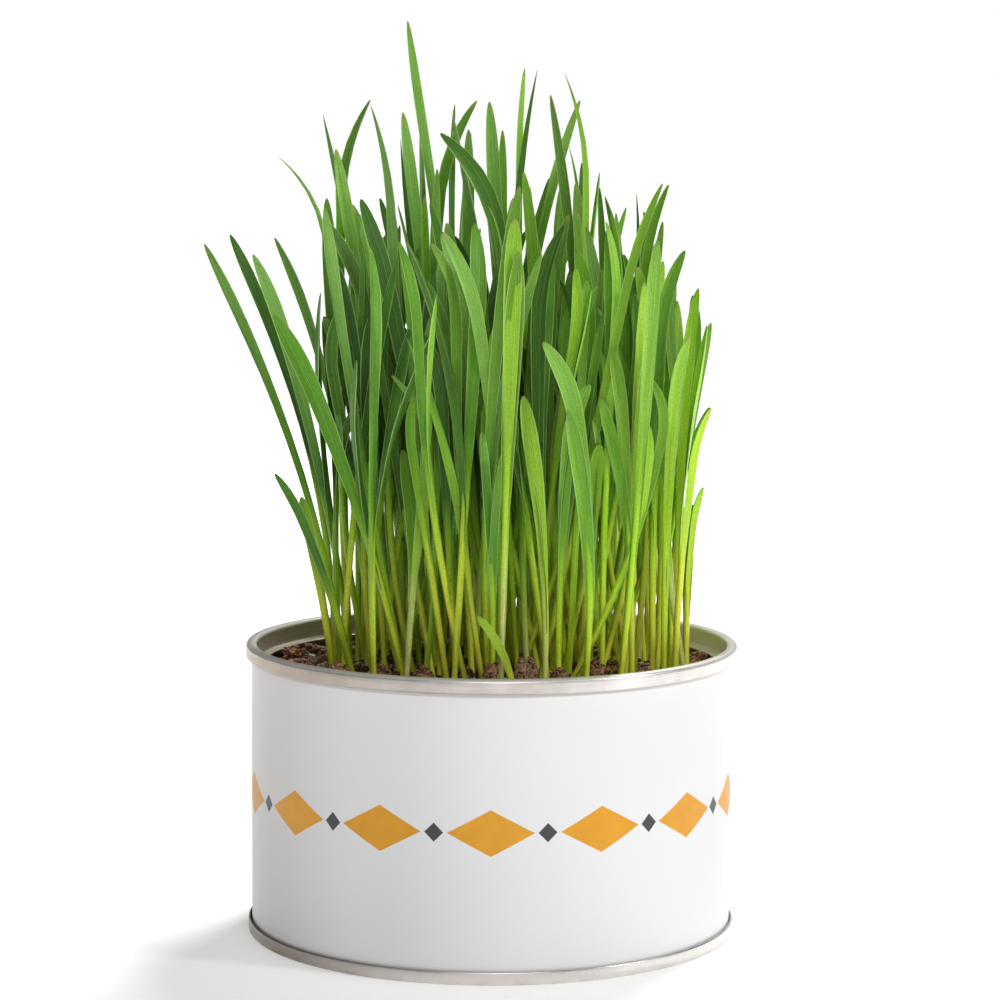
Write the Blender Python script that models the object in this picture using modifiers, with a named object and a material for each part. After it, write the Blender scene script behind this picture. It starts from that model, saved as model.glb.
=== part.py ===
"""Wheatgrass growing in a low round tin.

A tin body with its opened top seam and its base, potting mix inside, and tufts of grass
that each grow from a root ball in the mix. Metres, +Z up. The origin is on the tin's
axis, in the plane that the base seam stands on. -Y is the front.
"""

import math
import random

import bmesh
import bpy
import numpy as np

MM = 0.001

# The tin, in millimetres
TIN_HEIGHT = 60.3
BODY_RADIUS = 49.9
PLATE = 0.3  # tinplate thickness
GAP = 0.3  # between pieces that touch
STEPS = 36  # facets round the tin

TOP_SEAM_RADIUS = 51.0
TOP_SEAM_HEIGHT = 3.0
SEAM_LEG = 0.5  # inner leg of either seam, in radius
LIP_DROP = 4.0  # from the rim down to what is left of the torn-off lid
LIP_INNER_RADIUS = 47.2

BASE_SEAM_RADIUS = 50.7
BASE_SEAM_HEIGHT = 2.7
SEAM_FLOOR = 0.7  # metal under the body's lower edge
CHUCK_HEIGHT = 3.4
CHUCK_INNER_RADIUS = 47.2
PANEL_HEIGHT = 2.3
PANEL_STEP_RADIUS = 30.0
PANEL_CENTRE_HEIGHT = 1.0

# The potting mix and the root balls in it
MIX_TOP = 54.2
MIX_RELIEF = 0.9
MIX_RINGS = (14.0, 27.0, 39.0)
ROOT_BALL_RADIUS = 7.6
ROOT_BALL_TAPER = 1.0
ROOT_BALL_DEPTH = 11.0
ROOT_BALL_TOP = 52.9
ROOT_BALL_SIDES = 10
TUFT_RINGS = ((1, 0.0, 0), (6, 16.4, 0), (12, 32.6, 15))  # count, radius, first angle
PATCH_SHIFT = 4.0  # the sown patch lies a little to the right of the axis

# The grass
SHOOTS_PER_TUFT = 7
SHOOTS_IN_FRONT = 3  # of a tuft in front of the line below, where the mix shows
FRONT_LINE = -20.0
ROOT_END = 49.0  # how low a stem reaches into its root ball
ROOT_MARGIN = 1.5
ROOT_PLAY = 1.6  # how far a shoot that stands out may be rooted from its stated place
STEM_FOOT = 1.35  # width of a stem at its foot and where its leaf leaves it
STEM_NECK = 1.7
STEM_DEPTH = 1.4
BLADE_THICKNESS = 0.6
OPENING = 0.85  # the share of a blade over which it widens to its full width
THINNING = 0.3  # and over which it thins
FOLD = 0.11  # how far the midrib lies behind the edges, as a share of the width
ROUND_TIP = (0.78, 2.0)  # where along the blade the tip's taper starts, and its power
LONG_TIP = (0.25, 1.1)
CURL_START = 0.8
SIDE_LEAF_DROP = 3.0  # a side leaf ends at least this far below the tall one
SPREAD = 39.0  # how far from the patch's axis most leaves stay at the rim
SPREAD_RISE = 0.04  # and how much farther for each millimetre above it
WALL_CLEARANCE = 1.0
CELL = 0.8  # size of a cell of the space that is kept free for each shoot
SPACE_LOW = (-80.0, -80.0, 40.0)
SPACE_CELLS = (200, 200, 200)
SAMPLES = 150
TRIES = 160
SEED = 7

# The shoots that stand out from the front: where each is rooted (x, y), where its tall
# leaf ends (x, z), how far that leaf bows sideways at half its height, how far its tip
# curls sideways, the leaf's width and the kind of tip. Millimetres.
OUTLINE_SHOOTS = (
    (-30, 16, -25, 172, -1, 6, 3.2, ROUND_TIP),
    (-12, 26, -4, 172, -2, 6, 2.6, ROUND_TIP),
    (-31, 10, -44, 161, 1, -8, 3.6, LONG_TIP),
    (-30, -4, -58, 142, 5, 0, 2.8, ROUND_TIP),
    (-32, 8, -55, 145, 6, 0, 2.8, ROUND_TIP),
    (-30, 2, -49, 141, 3, -1, 3.3, ROUND_TIP),
    (-16, -18, -45, 129, 3, -1, 4.3, ROUND_TIP),
    (-24, 6, -45, 144, 4, -1, 3.3, ROUND_TIP),
    (-19, 14, -36, 170, 4, 1, 3.8, LONG_TIP),
    (-22, 10, -32, 161, 3, 0, 3.2, ROUND_TIP),
    (-21, 2, -25, 170, 1, -3, 3.4, LONG_TIP),
    (-8, 16, -18, 189, 4, 1, 2.6, ROUND_TIP),
    (-6, 24, -16, 175, 2, 0, 1.8, LONG_TIP),
    (-12, 20, -19, 170, 3, 0, 3.2, ROUND_TIP),
    (-14, 12, -19, 165, 2, 1, 2.8, LONG_TIP),
    (8, -4, -11, 166, 3, -8, 4.2, ROUND_TIP),
    (-4, 10, -5, 167, 0, 0, 3.4, ROUND_TIP),
    (4, 6, -1, 172, 1, 0, 3.4, ROUND_TIP),
    (2, 14, 2, 167, 0, 0, 2.4, ROUND_TIP),
    (5, 26, 7, 179, -1, 1, 2.4, ROUND_TIP),
    (4, 20, 9, 179, -2, 1, 2.8, LONG_TIP),
    (22, 14, 15, 177, 0, -5, 3.4, LONG_TIP),
    (20, 28, 15, 163, 0, -3, 2.2, LONG_TIP),
    (13, 6, 15, 156, -1, 0, 3.6, ROUND_TIP),
    (18, 24, 18, 159, 0, 0, 2.2, ROUND_TIP),
    (24, 20, 22, 155, 1, 0, 2.4, ROUND_TIP),
    (30, 4, 23, 152, 3, -1, 3.0, ROUND_TIP),
    (26, 10, 30, 154, -2, -2, 2.6, LONG_TIP),
    (29, -2, 36, 155, 0, 4, 3.0, ROUND_TIP),
    (32, -10, 39, 141, -1, 4, 3.2, ROUND_TIP),
    (39, -6, 42, 134, -1, 1, 3.0, ROUND_TIP),
    (38, 2, 45, 126, -2, 0, 2.8, ROUND_TIP),
    (34, -14, 39, 125, -1, 2, 2.8, ROUND_TIP),
    (42, -2, 43, 93, -1, 1, 2.8, ROUND_TIP),
    (38, -10, 44, 112, -1, 2, 2.8, ROUND_TIP),
    (-29, -10, -43, 98, 2, -1, 2.2, ROUND_TIP),
    (-31, -6, -38, 91, 1, 0, 2.8, ROUND_TIP),
    (-34, 5, -40, 120, 1, 0, 2.6, ROUND_TIP),
    (11, -29, 6, 114, 2, 0, 4.0, ROUND_TIP),
    (13, -26, 19, 116, -1, 3, 3.4, ROUND_TIP),
    (0, -27, -2, 106, 1, 0, 3.0, ROUND_TIP),
    (-18, -28, -11, 106, -1, 1, 3.4, ROUND_TIP),
    (-13, -15, -27, 151, 3, -1, 4.2, ROUND_TIP),
    (-22, -26, -24, 142, -1, -2, 3.6, ROUND_TIP),
    (-22, -12, -34, 140, 2, -1, 4.2, ROUND_TIP),
    (-13, 3, -29, 150, 3, -1, 3.6, ROUND_TIP),
    (2, -10, -13, 144, 2, -4, 4.0, ROUND_TIP),
    (-2, 2, -13, 151, 2, -1, 3.6, ROUND_TIP),
    (3, -32, 4, 148, 0, 0, 4.2, ROUND_TIP),
    (10, -20, 15, 146, -1, 5, 4.0, ROUND_TIP),
    (19, -14, 16, 142, 1, -2, 3.8, ROUND_TIP),
    (24, -5, 18, 146, 2, -1, 3.4, ROUND_TIP),
    (27, -21, 24, 122, 1, -1, 3.0, ROUND_TIP),
    (28, -18, 30, 136, 0, 0, 3.2, ROUND_TIP),
    (33, 10, 28, 140, 2, -1, 3.0, ROUND_TIP),
)

X_AXIS = np.array((1.0, 0.0, 0.0))
HALF = np.array((0.5, 0.8, 1.0))
TOP = np.array((1.0,))
NEIGHBOURS = ((0, 0, 0), (1, 0, 0), (-1, 0, 0), (0, 1, 0), (0, -1, 0), (0, 0, 1), (0, 0, -1))
MAIN_RINGS = (0.0, 0.33, 0.55, 0.78, 0.93)
SIDE_RINGS = (0.0, 0.35, 0.7, 0.92)


def clear_scene():
    for obj in list(bpy.data.objects):
        bpy.data.objects.remove(obj)


def collection(name):
    found = bpy.data.collections.new(name)
    bpy.context.scene.collection.children.link(found)
    return found


def material(name, colour, roughness, metallic=0.0):
    made = bpy.data.materials.new(name)
    made.use_nodes = True
    shader = made.node_tree.nodes["Principled BSDF"]
    shader.inputs["Base Color"].default_value = (*colour, 1.0)
    shader.inputs["Roughness"].default_value = roughness
    shader.inputs["Metallic"].default_value = metallic
    return made


def mesh_object(name, points, faces, where, finish):
    """A mesh object from points in millimetres."""
    mesh = bpy.data.meshes.new(name)
    mesh.from_pydata([[c * MM for c in p] for p in points], [], faces)
    mesh.materials.append(finish)
    made = bpy.data.objects.new(name, mesh)
    where.objects.link(made)
    return made


def arc(centre, radii, start, end, count):
    """Points on an ellipse in the profile plane, from one angle in degrees to another."""
    angles = np.radians(np.linspace(start, end, count))
    return [
        (centre[0] + radii[0] * math.cos(a), centre[1] + radii[1] * math.sin(a))
        for a in angles
    ]


def turned(name, profile, where, finish, closed=True):
    """A solid turned round the tin's axis from (radius, height) points, outer side first."""
    points = [(r, 0.0, z) for r, z in profile]
    made = mesh_object(name, points, [], where, finish)
    mesh = made.data
    ends = [(i, i + 1) for i in range(len(points) - 1)]
    if closed:
        ends.append((len(points) - 1, 0))
    mesh.edges.add(len(ends))
    mesh.edges.foreach_set("vertices", [i for pair in ends for i in pair])
    screw = made.modifiers.new("turn", "SCREW")
    screw.axis = "Z"
    screw.steps = STEPS
    screw.render_steps = STEPS
    screw.use_merge_vertices = True
    screw.merge_threshold = 0.00001
    screw.use_smooth_shade = False
    return made


def apply_modifiers(made):
    """Puts what the modifiers make into the object's own mesh."""
    graph = bpy.context.evaluated_depsgraph_get()
    mesh = bpy.data.meshes.new_from_object(made.evaluated_get(graph))
    made.modifiers.clear()
    made.data = mesh
    return made


def tin_body(where, finish):
    """The straight tinplate wall, whose two edges sit inside the seams."""
    top = TIN_HEIGHT - 1.4
    bottom = SEAM_FLOOR + GAP
    inner = BODY_RADIUS - PLATE
    profile = [(BODY_RADIUS, top), (BODY_RADIUS, bottom), (inner, bottom), (inner, top)]
    return turned("tin_body", profile, where, finish)


def top_seam(where, finish):
    """The rolled seam round the mouth, with the lip that the torn-off lid left inside."""
    leg_outer = BODY_RADIUS - PLATE - GAP
    leg_inner = leg_outer - SEAM_LEG
    crown = ((TOP_SEAM_RADIUS + leg_inner) / 2, TIN_HEIGHT - 0.8)
    crown_radii = (TOP_SEAM_RADIUS - crown[0], 0.8)
    skirt = BODY_RADIUS + GAP
    skirt_end = TIN_HEIGHT - TOP_SEAM_HEIGHT
    groove_top = TIN_HEIGHT - 1.1
    lip = TIN_HEIGHT - LIP_DROP
    profile = [
        *arc(crown, crown_radii, 90, 0, 3),
        (TOP_SEAM_RADIUS, skirt_end + 0.3),
        (TOP_SEAM_RADIUS - 0.3, skirt_end),
        (skirt, skirt_end),
        (skirt, groove_top),
        (leg_outer, groove_top),
        (leg_outer, lip - PLATE),
        (LIP_INNER_RADIUS, lip - 2 * PLATE),
        (LIP_INNER_RADIUS, lip - PLATE),
        (leg_inner, lip),
        *arc(crown, crown_radii, 180, 135, 2),
    ]
    return turned("top_seam", profile, where, finish)


def panel_profile(rise):
    """The base panel's outline from the axis to the chuck wall, raised by its thickness."""
    return [
        (0.0, PANEL_CENTRE_HEIGHT + rise),
        (PANEL_STEP_RADIUS - 1.5, PANEL_CENTRE_HEIGHT + rise),
        (PANEL_STEP_RADIUS, PANEL_HEIGHT + rise),
        (CHUCK_INNER_RADIUS - 0.8, PANEL_HEIGHT + rise),
        (CHUCK_INNER_RADIUS, CHUCK_HEIGHT + rise),
    ]


def base_end(where, finish):
    """The base: a seam that the tin stands on and a stepped panel held up inside it."""
    leg_outer = BODY_RADIUS - PLATE - GAP
    leg_inner = leg_outer - SEAM_LEG
    skirt = BODY_RADIUS + GAP
    outside = [
        (skirt, BASE_SEAM_HEIGHT),
        (BASE_SEAM_RADIUS, BASE_SEAM_HEIGHT - 0.2),
        (BASE_SEAM_RADIUS, 0.45),
        (BASE_SEAM_RADIUS - 0.4, 0.0),
        (leg_inner + 0.4, 0.0),
        (leg_inner, 0.45),
        (leg_inner - 0.3, CHUCK_HEIGHT),
        *reversed(panel_profile(0.0)),
    ]
    inside = [
        *panel_profile(PLATE),
        (leg_outer, CHUCK_HEIGHT + PLATE),
        (leg_outer, SEAM_FLOOR),
        (skirt, SEAM_FLOOR),
    ]
    made = turned("base_end", outside + inside, where, finish)
    return apply_modifiers(made)


def relief(x, y):
    """How far the potting mix stands above or below its mean level."""
    return MIX_RELIEF * (
        0.55 * math.sin(0.21 * x + 1.3) * math.cos(0.17 * y - 0.4)
        + 0.3 * math.sin(0.37 * x - 0.29 * y)
        + 0.25 * math.cos(0.33 * x + 0.41 * y + 2.0)
    )


def potting_mix(where, finish, tufts):
    """The mix that fills the tin: uneven on top, with a plain hole for each root ball."""
    edge = BODY_RADIUS - PLATE - GAP
    lip_edge = LIP_INNER_RADIUS - 0.2
    top = [(0.0, MIX_TOP), *((r, MIX_TOP) for r in MIX_RINGS), (lip_edge, MIX_TOP)]
    bottom = [(edge - 0.2, CHUCK_HEIGHT + PLATE + GAP), *reversed(panel_profile(PLATE + GAP))]
    made = turned("potting_mix", [*top, (edge, MIX_TOP - 1.2), *bottom], where, finish)
    apply_modifiers(made)
    for vertex in made.data.vertices:
        x, y, z = vertex.co / MM
        if z > MIX_TOP - 0.5 and math.hypot(x, y) < lip_edge - 1.0:
            vertex.co.z += relief(x, y) * MM
    for index, (x, y) in enumerate(tufts):
        hole = root_ball(f"hole_{index}", x, y, GAP + 0.05, bpy.context.scene.collection, finish)
        cut = made.modifiers.new("hole", "BOOLEAN")
        cut.operation = "DIFFERENCE"
        cut.object = hole
        apply_modifiers(made)
        bpy.data.objects.remove(hole)
    return made


def root_ball(name, x, y, grown, where, finish):
    """A tapered plug of roots, or with grown above 0 the hole that it stands in."""
    builder = bmesh.new()
    top = ROOT_BALL_TOP + (12.0 if grown else 0.0)
    depth = top - (ROOT_BALL_TOP - ROOT_BALL_DEPTH) + grown
    bmesh.ops.create_cone(
        builder,
        cap_ends=True,
        segments=ROOT_BALL_SIDES,
        radius1=(ROOT_BALL_RADIUS - (0.0 if grown else ROOT_BALL_TAPER) + grown) * MM,
        radius2=(ROOT_BALL_RADIUS + grown) * MM,
        depth=depth * MM,
    )
    bmesh.ops.translate(
        builder, verts=builder.verts, vec=(x * MM, y * MM, (top - depth / 2) * MM)
    )
    mesh = bpy.data.meshes.new(name)
    builder.to_mesh(mesh)
    builder.free()
    mesh.materials.append(finish)
    made = bpy.data.objects.new(name, mesh)
    where.objects.link(made)
    return made


def tuft_centres():
    """One tuft in the middle of the sown patch and two rings of tufts round it."""
    found = []
    for count, radius, first in TUFT_RINGS:
        for k in range(count):
            angle = math.radians(first + 360 * k / count)
            found.append((PATCH_SHIFT + radius * math.cos(angle), radius * math.sin(angle)))
    return found


def smooth(share):
    share = np.clip(share, 0.0, 1.0)
    return share * share * (3 - 2 * share)


class Leaf:
    """A centre line with a width, a thickness and a facing at every share of its length."""

    def __init__(self, points, width, taper, collar, face, twist):
        self.points = points  # a function of an array of shares
        self.width = width
        self.taper = taper
        self.collar = collar  # the share up to which it is a round stem
        self.face = face
        self.twist = twist

    def size(self, t):
        """Width, thickness and fold at each share."""
        u = (t - self.collar) / (1 - self.collar)
        opened = smooth(u / OPENING)
        wide = STEM_FOOT + (STEM_NECK - STEM_FOOT) * smooth(t / max(self.collar, 0.01))
        wide = wide + (self.width - wide) * opened
        start, power = self.taper
        wide = wide * (1 - np.clip((u - start) / (1 - start), 0, 1) ** power) ** 0.8
        thick = STEM_DEPTH + (BLADE_THICKNESS - STEM_DEPTH) * smooth(u / THINNING)
        return wide, thick, FOLD * wide * opened

    def frame(self, t):
        """The points, and the directions across and through the blade, at each share."""
        step = 0.01
        ahead = self.points(np.minimum(t + step, 1.0)) - self.points(np.maximum(t - step, 0.0))
        ahead = ahead / np.linalg.norm(ahead, axis=1)[:, None]
        across = X_AXIS - (ahead @ X_AXIS)[:, None] * ahead
        across = across / np.linalg.norm(across, axis=1)[:, None]
        through = np.cross(ahead, across)
        turn = self.face + self.twist * t
        c, s = np.cos(turn)[:, None], np.sin(turn)[:, None]
        return self.points(t), across * c + through * s, through * c - across * s

    def corners(self, t):
        """The left edge, the midrib at the back and the right edge, at each share."""
        centre, across, through = self.frame(t)
        wide, thick, fold = self.size(t)
        front = centre - through * (thick / 2)[:, None]
        half = across * (wide / 2)[:, None]
        return front - half, front + through * (thick + fold)[:, None], front + half

    def surface(self, t):
        """Points spread over the leaf, for the test of what is near it."""
        left, rib, right = self.corners(t)
        return np.concatenate(
            [left, right, rib, (left + right) / 2, (left + rib) / 2, (right + rib) / 2]
            + [left * 0.75 + right * 0.25, left * 0.25 + right * 0.75]
        )


def stem_line(root, tip, bow, curl):
    """A shoot's line from its root to the end of its tall leaf."""

    def points(t):
        t = t[:, None]
        last = np.clip((t - CURL_START) / (1 - CURL_START), 0, 1) ** 2
        return root + t * (tip - root) + 4 * t * (1 - t) * bow + last * curl

    return points


def side_line(start, ahead, tip):
    """A side leaf's line: it leaves along the stem and arches over to its own tip."""
    middle = start + ahead * (0.5 * np.linalg.norm(tip - start))

    def points(t):
        t = t[:, None]
        return (1 - t) ** 2 * start + 2 * t * (1 - t) * middle + t * t * tip

    return points


def outline_leaf(draw, row, centre):
    """The tall leaf of a shoot that stands out, with its depth left to the draw."""
    root_x, root_y, tip_x, tip_z, bow, curl, width, taper = row
    root_x += draw.uniform(-ROOT_PLAY, ROOT_PLAY) - centre[0]
    root_y += draw.uniform(-ROOT_PLAY, ROOT_PLAY) - centre[1]
    pull = min(1.0, (ROOT_BALL_RADIUS - ROOT_MARGIN) / math.hypot(root_x, root_y))
    root = np.array((centre[0] + root_x * pull, centre[1] + root_y * pull, ROOT_END))
    depth = root[1] * draw.uniform(0.8, 1.5) + draw.uniform(-10, 10)
    curl_to = np.array((curl, 0.5 * curl, -0.4 * abs(curl)))
    tip = np.array((tip_x + draw.uniform(-0.8, 0.8), depth, tip_z + draw.uniform(-1, 1))) - curl_to
    bow_to = np.array((bow, draw.uniform(-4, 4), 0.0))
    face = math.radians(draw.uniform(-35, 35))
    twist = math.radians(draw.uniform(-40, 40))
    collar = draw.uniform(0.3, 0.45)
    return Leaf(stem_line(root, tip, bow_to, curl_to), width, taper, collar, face, twist)


def filling_leaf(draw, centre):
    """The tall leaf of a shoot of the body of the tuft, rooted anywhere in its root ball."""
    reach = (ROOT_BALL_RADIUS - ROOT_MARGIN) * math.sqrt(draw.random())
    angle = draw.uniform(0, 2 * math.pi)
    root = np.array(
        (centre[0] + reach * math.cos(angle), centre[1] + reach * math.sin(angle), ROOT_END)
    )
    out = np.array((root[0] - PATCH_SHIFT, root[1], 0.0)) / 40
    height = draw.uniform(76, 112) * (1 - 0.16 * float(out @ out))
    lean = out * draw.uniform(-4, 9) + np.array((draw.gauss(0, 11), draw.gauss(0, 8), 0.0))
    tip = root + lean + np.array((0.0, 0.0, height))
    bow_to = np.array((draw.uniform(-4, 4), draw.uniform(-4, 4), 0.0)) + 0.1 * lean
    curl_to = np.array((draw.uniform(-5, 5), draw.uniform(-5, 5), -1.0))
    face = math.radians(draw.gauss(0, 45))
    twist = math.radians(draw.uniform(-70, 70))
    width = draw.uniform(2.8, 4.0)
    collar = draw.uniform(0.28, 0.45)
    return Leaf(stem_line(root, tip, bow_to, curl_to), width, ROUND_TIP, collar, face, twist)


def side_leaf(draw, main):
    """The second leaf, which leaves the stem at its collar and leans away from it."""
    at = np.array((main.collar - 0.04, main.collar))
    low, start = main.points(at)
    ahead = (start - low) / np.linalg.norm(start - low)
    end = main.points(TOP)[0]
    length = np.linalg.norm(end - start) * draw.uniform(0.72, 1.05)
    angle = draw.uniform(0, 2 * math.pi)
    spread = math.radians(draw.uniform(5, 17))
    away = np.array((math.cos(angle), 0.8 * math.sin(angle), 0.0)) * math.sin(spread)
    tip = start + length * (ahead * math.cos(spread) + away)
    face = math.radians(draw.uniform(-70, 70))
    twist = math.radians(draw.uniform(-60, 60))
    width = main.width * draw.uniform(0.8, 1.05)
    return Leaf(side_line(low, ahead, tip), width, ROUND_TIP, -0.25, face, twist)


class Space:
    """The cells of the space over the tin, each taken by a shoot or free."""

    def __init__(self):
        self.taken = np.zeros(SPACE_CELLS, bool)

    def cells(self, leaf, count):
        points = leaf.surface(np.linspace(0.0, 0.995, count))
        found = np.floor((points - np.array(SPACE_LOW)) / CELL).astype(int)
        return points, np.unique(found, axis=0)

    def spread_out(self, points):
        """Whether points lie outside the space that most leaves keep to."""
        out = np.hypot(points[:, 0] - PATCH_SHIFT, points[:, 1])
        return (out > SPREAD + SPREAD_RISE * (points[:, 2] - TIN_HEIGHT)).any()

    def clear(self, leaf, count, centre):
        """Whether the leaf misses every shoot so far, its root ball's hole and the tin's mouth."""
        middle = np.floor((leaf.points(np.linspace(0, 0.99, 60)) - SPACE_LOW) / CELL).astype(int)
        if self.taken[middle[:, 0], middle[:, 1], middle[:, 2]].any():
            return False
        points, cells = self.cells(leaf, count)
        for height, middle, most in (
            (MIX_TOP + 2 * MIX_RELIEF, centre, ROOT_BALL_RADIUS),
            (TIN_HEIGHT + WALL_CLEARANCE, (0.0, 0.0), LIP_INNER_RADIUS - WALL_CLEARANCE),
        ):
            low = points[points[:, 2] < height]
            if len(low) and np.hypot(low[:, 0] - middle[0], low[:, 1] - middle[1]).max() > most:
                return False
        return not self.taken[cells[:, 0], cells[:, 1], cells[:, 2]].any()

    def take(self, leaf, count):
        _, cells = self.cells(leaf, count)
        for x, y, z in NEIGHBOURS:
            self.taken[cells[:, 0] + x, cells[:, 1] + y, cells[:, 2] + z] = True


def grown_shoot(space, draw, make, centre):
    """The first drawn shoot that has room, as its leaves, or nothing if none has."""
    for _ in range(TRIES):
        main = make(draw, centre)
        if make is filling_leaf and space.spread_out(main.surface(HALF)):
            continue
        if not space.clear(main, SAMPLES, centre):
            continue
        leaves = [main]
        for _ in range(TRIES // 4):
            side = side_leaf(draw, main)
            if side.points(TOP)[0, 2] > main.points(TOP)[0, 2] - SIDE_LEAF_DROP:
                continue
            if space.clear(side, SAMPLES, centre) and not space.spread_out(side.surface(HALF)):
                leaves.append(side)
                break
        for leaf in leaves:
            space.take(leaf, SAMPLES)
        return leaves
    return None


def grow(tufts):
    """The shoots of each tuft: first those of the outline, then those that fill it."""
    space = Space()
    shoots = [[] for _ in tufts]
    for index, row in enumerate(OUTLINE_SHOOTS):
        apart = [math.hypot(row[0] - x, row[1] - y) for x, y in tufts]
        nearest = apart.index(min(apart))
        centre = tufts[nearest]
        draw = random.Random(SEED * 1000 + index)
        leaves = grown_shoot(space, draw, lambda d, c, r=row: outline_leaf(d, r, c), centre)
        if leaves:
            shoots[nearest].append(leaves)
    for turn in range(SHOOTS_PER_TUFT):
        for index, centre in enumerate(tufts):
            most = SHOOTS_IN_FRONT if centre[1] < FRONT_LINE else SHOOTS_PER_TUFT
            if len(shoots[index]) >= most:
                continue
            draw = random.Random(SEED * 100000 + turn * 100 + index)
            leaves = grown_shoot(space, draw, filling_leaf, centre)
            if leaves:
                shoots[index].append(leaves)
    return shoots


def leaf_solid(name, leaf, rings, where, finish):
    """A leaf as a three-sided solid that ends in a point."""
    left, rib, right = leaf.corners(np.array((*rings, 1.0)))
    points = [corner[k] for k in range(len(rings)) for corner in (left, rib, right)]
    apex = len(points)
    points.append((left[-1] + right[-1]) / 2)
    sides = ((1, 0), (2, 1), (0, 2))
    faces = [(0, 1, 2)]
    for low in range(0, apex - 3, 3):
        for a, b in sides:
            faces += [(low + a, low + b, low + b + 3), (low + a, low + b + 3, low + a + 3)]
    faces += [(apex - 3 + a, apex - 3 + b, apex) for a, b in sides]
    return mesh_object(name, points, faces, where, finish)


def tuft(number, centre, shoots, where, finish):
    """One node: a root ball with its shoots fused into it."""
    name = f"tuft_{number}"
    made = root_ball(name, centre[0], centre[1], 0.0, where, finish)
    repeats = collection(f"{name}_shoots")
    for index, leaves in enumerate(shoots):
        for leaf, rings, kind in zip(leaves, (MAIN_RINGS, SIDE_RINGS), ("stem", "side")):
            leaf_solid(f"{name}_{kind}_{index}", leaf, rings, repeats, finish)
    join = made.modifiers.new("join", "BOOLEAN")
    join.operation = "UNION"
    join.operand_type = "COLLECTION"
    join.collection = repeats
    join.solver = "MANIFOLD"
    apply_modifiers(made)
    for obj in list(repeats.objects):
        bpy.data.objects.remove(obj)
    bpy.data.collections.remove(repeats)
    return made


def main():
    clear_scene()
    part = collection("wheatgrass_tin")
    enamel = material("white_enamel", (0.85, 0.85, 0.86), 0.35)
    tinplate = material("tinplate", (0.72, 0.72, 0.7), 0.3, 1.0)
    mix = material("potting_mix", (0.09, 0.055, 0.035), 0.9)
    green = material("grass", (0.16, 0.4, 0.05), 0.45)
    tufts = tuft_centres()
    tin_body(part, enamel)
    top_seam(part, tinplate)
    base_end(part, tinplate)
    potting_mix(part, mix, tufts)
    shoots = grow(tufts)
    for number, (centre, members) in enumerate(zip(tufts, shoots), 1):
        tuft(number, centre, members, part, green)


main()
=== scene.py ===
import math
import random

import bpy
import numpy as np
from mathutils import Matrix, Vector


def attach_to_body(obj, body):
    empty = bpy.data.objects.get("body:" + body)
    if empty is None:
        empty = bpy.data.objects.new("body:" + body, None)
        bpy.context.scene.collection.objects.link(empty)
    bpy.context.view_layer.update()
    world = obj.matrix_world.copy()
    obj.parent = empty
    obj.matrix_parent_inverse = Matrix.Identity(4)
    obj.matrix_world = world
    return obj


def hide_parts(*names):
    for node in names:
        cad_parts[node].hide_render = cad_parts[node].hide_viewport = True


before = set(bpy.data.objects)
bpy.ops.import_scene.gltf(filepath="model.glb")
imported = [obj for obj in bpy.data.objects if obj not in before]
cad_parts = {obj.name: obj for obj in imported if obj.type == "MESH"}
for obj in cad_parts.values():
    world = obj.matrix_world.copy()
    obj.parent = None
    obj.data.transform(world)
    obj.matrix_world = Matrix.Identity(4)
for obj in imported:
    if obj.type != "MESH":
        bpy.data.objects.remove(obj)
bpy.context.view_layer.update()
mm = 0.001
noTint = (1.0, 1.0, 1.0)


# A shader socket that can stand in a Python sum; each sign adds its Math node.
class Number:
    def __init__(self, finish, socket):
        self.finish = finish
        self.socket = socket

    def maths(self, operation, *values):
        return self.finish.add("ShaderNodeMath", {"operation": operation}, dict(enumerate(values)))

    def __add__(self, other): return self.maths("ADD", self, other)
    def __radd__(self, other): return self.maths("ADD", other, self)
    def __sub__(self, other): return self.maths("SUBTRACT", self, other)
    def __rsub__(self, other): return self.maths("SUBTRACT", other, self)
    def __mul__(self, other): return self.maths("MULTIPLY", self, other)
    def __rmul__(self, other): return self.maths("MULTIPLY", other, self)
    def __truediv__(self, other): return self.maths("DIVIDE", self, other)
    def __pow__(self, other): return self.maths("POWER", self, other)
    def __abs__(self): return self.maths("ABSOLUTE", self)
    def sine(self): return self.maths("SINE", self)
    def wrapped(self, low, high): return self.maths("WRAP", self, high, low)
    def angleTo(self, other): return self.maths("ARCTAN2", self, other)

    def between(self, low, high, start=0.0, end=1.0, smooth=True):
        kind = "SMOOTHSTEP" if smooth else "LINEAR"
        return self.finish.add(
            "ShaderNodeMapRange", {"interpolation_type": kind},
            {"Value": self, "From Min": low, "From Max": high, "To Min": start, "To Max": end})


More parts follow.
